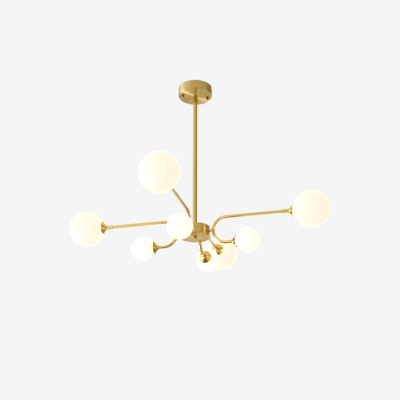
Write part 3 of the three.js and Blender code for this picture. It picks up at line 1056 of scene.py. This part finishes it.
class CHANDELIER_OT_globes(bpy.types.Operator):
    """Models the blown glass globes, and finishes the lamp holders and bulbs inside them"""

    bl_idname = "chandelier.globes"
    bl_label = "Globes"

    def execute(self, context):
        sizes = context.scene.chandelier_sizes
        finishes = context.scene.chandelier_finishes
        name = "steatite, glazed"
        steatite = plain_moulding(name, finishes.steatite, grain_width=3, roughness=0.3)
        capsule = lit_capsule(finishes)
        for size in ("large", "small"):
            glow = {"large": finishes.large_glow, "small": finishes.small_glow}[size]
            lamp = {"large": finishes.large_lamp, "small": finishes.small_lamp}[size]
            glass = opal_glass(finishes, f"opal glass, lit, {size} globe", glow, lamp)
            back_glass = None
            if size == "large":
                name = "opal glass, lit, back globe"
                back_glass = opal_glass(finishes, name, glow, finishes.back_lamp)
            node = f"{size}_globe"
            globe = self.globe(sizes, f"branch_1_{node}")
            on_each_branch(globe, f"{size}_opal_globe", "opal_glass", glass, node, back_glass)
            for branch in BRANCHES:
                dress(f"branch_{branch}_{size}_lamp_holder", steatite)
                dress(f"branch_{branch}_{size}_bulb", capsule)
        return {"FINISHED"}

    def globe(self, sizes, node):
        """A sphere cut open at the back, drawn out into a neck, with the glass's wall inside."""
        radius = extent(node, 2) / 2
        reach = high(node).x - radius
        height = middle(node, 2)
        deselect()
        bpy.ops.mesh.primitive_uv_sphere_add(
            segments=sizes.turned_steps,
            ring_count=sizes.turned_steps // 2,
            radius=radius,
            location=(reach, 0, height),
            rotation=(0, QUARTER_TURN, 0),
        )
        edit()
        mouth = reach - math.sqrt(radius**2 - (sizes.globe_neck / 2) ** 2)
        bpy.ops.mesh.bisect(plane_co=(mouth, 0, height), plane_no=(1, 0, 0), clear_inner=True)
        back = (-sizes.neck_length, 0, 0)
        bpy.ops.mesh.extrude_region_move(TRANSFORM_OT_translate={"value": back})
        clean()
        globe = settle("globe")
        modify("SOLIDIFY", thickness=sizes.globe_wall, offset=-1.0)
        return round_edges(globe, sizes.fine_edge)


class CHANDELIER_OT_stage(bpy.types.Operator):
    """Lays the pale floor, and sets the soft light, the boards that metal mirrors and the world"""

    bl_idname = "chandelier.stage"
    bl_label = "Stage"

    def execute(self, context):
        stage = context.scene.chandelier_stage
        self.floor(stage)
        self.world(context.scene, stage)
        self.softbox(stage, turn=-60, rise=-6, width=2.0, height=2.4)
        for board in self.boards(stage):
            self.board(stage, *board)
        context.scene.view_settings.view_transform = "Standard"
        return {"FINISHED"}

    def boards(self, stage):
        """Each board's name, turn and rise in degrees, distance, width and height in metres,
        colour and strength."""
        bright = stage.window_strength
        brightest = stage.low_window_strength
        pale = stage.curtain_strength
        return (
            ("window", -94, -6, ROOM_RADIUS, 2.6, 4.6, stage.window, bright),
            ("low_window", -112, -27, 2.3, 1.2, 1.1, stage.window, brightest),
            ("curtain", -54, 0, ROOM_RADIUS, 1.3, ROOM_HEIGHT, stage.backdrop, pale),
            ("near_room", 9, 0, ROOM_RADIUS, 3.3, ROOM_HEIGHT, stage.room, 1.0),
            ("shaded_room", 62, 0, ROOM_RADIUS, 1.7, ROOM_HEIGHT, stage.shade, 1.0),
            ("flag", 110, 0, ROOM_RADIUS, 2.6, ROOM_HEIGHT, stage.flag, 1.0),
            ("rear_flag", -150, 6, ROOM_RADIUS, 1.2, 2.2, stage.card, 1.0),
            ("low_card", -34, -71, 0.27, 0.34, 0.4, stage.card, 1.0),
        )

    def around(self, stage, turn, rise, distance):
        """A point round the hub and the way from it to the hub's middle: turn to the right of the
        camera and rise above the hub, in degrees."""
        heading = stage.azimuth - QUARTER_TURN + math.radians(turn)
        slope = math.radians(rise)
        level = math.cos(slope)
        out = Vector((math.cos(heading) * level, math.sin(heading) * level, math.sin(slope)))
        centre = Vector((0, 0, middle("hub_body", 2)))
        return centre + distance * out, -out

    def softbox(self, stage, turn, rise, width, height):
        """The daylight that falls on the object; metal mirrors the window board in its place."""
        place, ahead = self.around(stage, turn, rise, ROOM_RADIUS)
        deselect()
        bpy.ops.object.light_add(type="AREA", location=place)
        light = bpy.context.object
        light.name = "daylight"
        light.rotation_euler = facing(ahead)
        light.data.shape = "RECTANGLE"
        light.data.size = width
        light.data.size_y = height
        light.data.energy = stage.daylight_power
        light.data.color = stage.daylight[:3]
        light.visible_glossy = False

    def board(self, stage, name, turn, rise, distance, width, height, colour, strength):
        """A board out of view that metal mirrors; it lights and shades nothing."""
        place, ahead = self.around(stage, turn, rise, distance)
        deselect()
        bpy.ops.mesh.primitive_plane_add(size=1, location=place)
        board = bpy.context.object
        board.name = name
        board.scale = (width, height, 1)
        board.rotation_euler = facing(ahead)
        board.visible_camera = False
        board.visible_diffuse = False
        board.visible_shadow = False
        cloth = material(name)
        shader = add(cloth, "ShaderNodeEmission", {"Color": list(colour), "Strength": strength})
        add(cloth, "ShaderNodeOutputMaterial", {"Surface": shader.outputs[0]})
        board.data.materials.append(cloth)

    def floor(self, stage):
        """Matt paper that the camera sees almost evenly pale, with faint shadows, and that metal
        and glass mirror at full paleness."""
        deselect()
        bpy.ops.mesh.primitive_plane_add(size=FLOOR_SIZE, location=(0, 0, FLOOR_HEIGHT))
        floor = bpy.context.object
        floor.name = "floor"
        paper = material("paper, matt")
        path = add(paper, "ShaderNodeLightPath")
        mirrored = add(
            paper,
            "ShaderNodeMath",
            {0: path.outputs["Is Glossy Ray"], 1: path.outputs["Is Transmission Ray"]},
            operation="MAXIMUM",
        )
        seen = add(
            paper,
            "ShaderNodeMath",
            {0: path.outputs["Is Camera Ray"], 1: stage.paleness, 2: mirrored.outputs[0]},
            operation="MULTIPLY_ADD",
        )
        backdrop = list(stage.backdrop)
        lit = add(paper, "ShaderNodeBsdfDiffuse", {"Color": backdrop})
        pale = add(paper, "ShaderNodeEmission", {"Color": backdrop, "Strength": 1.0})
        shader = add(
            paper,
            "ShaderNodeMixShader",
            {0: seen.outputs[0], 1: lit.outputs[0], 2: pale.outputs[0]},
        )
        add(paper, "ShaderNodeOutputMaterial", {"Surface": shader.outputs[0]})
        floor.data.materials.append(paper)

    def world(self, scene, stage):
        """The pale ground for what the camera, metal and glass see, and an even fill for the
        rest."""
        world = bpy.data.worlds.new("pale studio")
        world.use_nodes = True
        world.node_tree.nodes.clear()
        scene.world = world
        path = add(world, "ShaderNodeLightPath")
        seen = path.outputs["Is Camera Ray"]
        for other in ("Is Glossy Ray", "Is Transmission Ray"):
            either = {0: seen, 1: path.outputs[other]}
            seen = add(world, "ShaderNodeMath", either, operation="MAXIMUM").outputs[0]
        backdrop = list(stage.backdrop)
        shown = add(world, "ShaderNodeBackground", {"Color": backdrop, "Strength": 1.0})
        fill = add(world, "ShaderNodeBackground", {"Color": backdrop, "Strength": stage.fill})
        mix = add(world, "ShaderNodeMixShader", {0: seen, 1: fill.outputs[0], 2: shown.outputs[0]})
        add(world, "ShaderNodeOutputWorld", {"Surface": mix.outputs[0]})


OPERATORS = (
    CHANDELIER_OT_camera,
    CHANDELIER_OT_canopy,
    CHANDELIER_OT_drop_rod,
    CHANDELIER_OT_hub,
    CHANDELIER_OT_branches,
    CHANDELIER_OT_globes,
    CHANDELIER_OT_stage,
)


class CHANDELIER_PT_panel(bpy.types.Panel):
    """Lists the chandelier's pieces and its stage"""

    bl_idname = "CHANDELIER_PT_panel"
    bl_label = "Branch chandelier"
    bl_space_type = "VIEW_3D"
    bl_region_type = "UI"
    bl_category = "Chandelier"

    def draw(self, context):
        for operator in OPERATORS:
            self.layout.operator(operator.bl_idname)


GROUPS = {
    "chandelier_sizes": ChandelierSizes,
    "chandelier_finishes": ChandelierFinishes,
    "chandelier_stage": ChandelierStage,
}


def register():
    for cls in (*GROUPS.values(), *OPERATORS, CHANDELIER_PT_panel):
        bpy.utils.register_class(cls)
    for name, group in GROUPS.items():
        setattr(bpy.types.Scene, name, bpy.props.PointerProperty(type=group))


def unregister():
    for name in GROUPS:
        delattr(bpy.types.Scene, name)
    for cls in (CHANDELIER_PT_panel, *reversed(OPERATORS), *reversed(GROUPS.values())):
        bpy.utils.unregister_class(cls)


def main():
    register()
    bpy.ops.chandelier.camera()
    bpy.ops.chandelier.canopy()
    bpy.ops.chandelier.drop_rod()
    bpy.ops.chandelier.hub()
    bpy.ops.chandelier.branches()
    bpy.ops.chandelier.globes()
    bpy.ops.chandelier.stage()


if __name__ == "__main__":
    main()
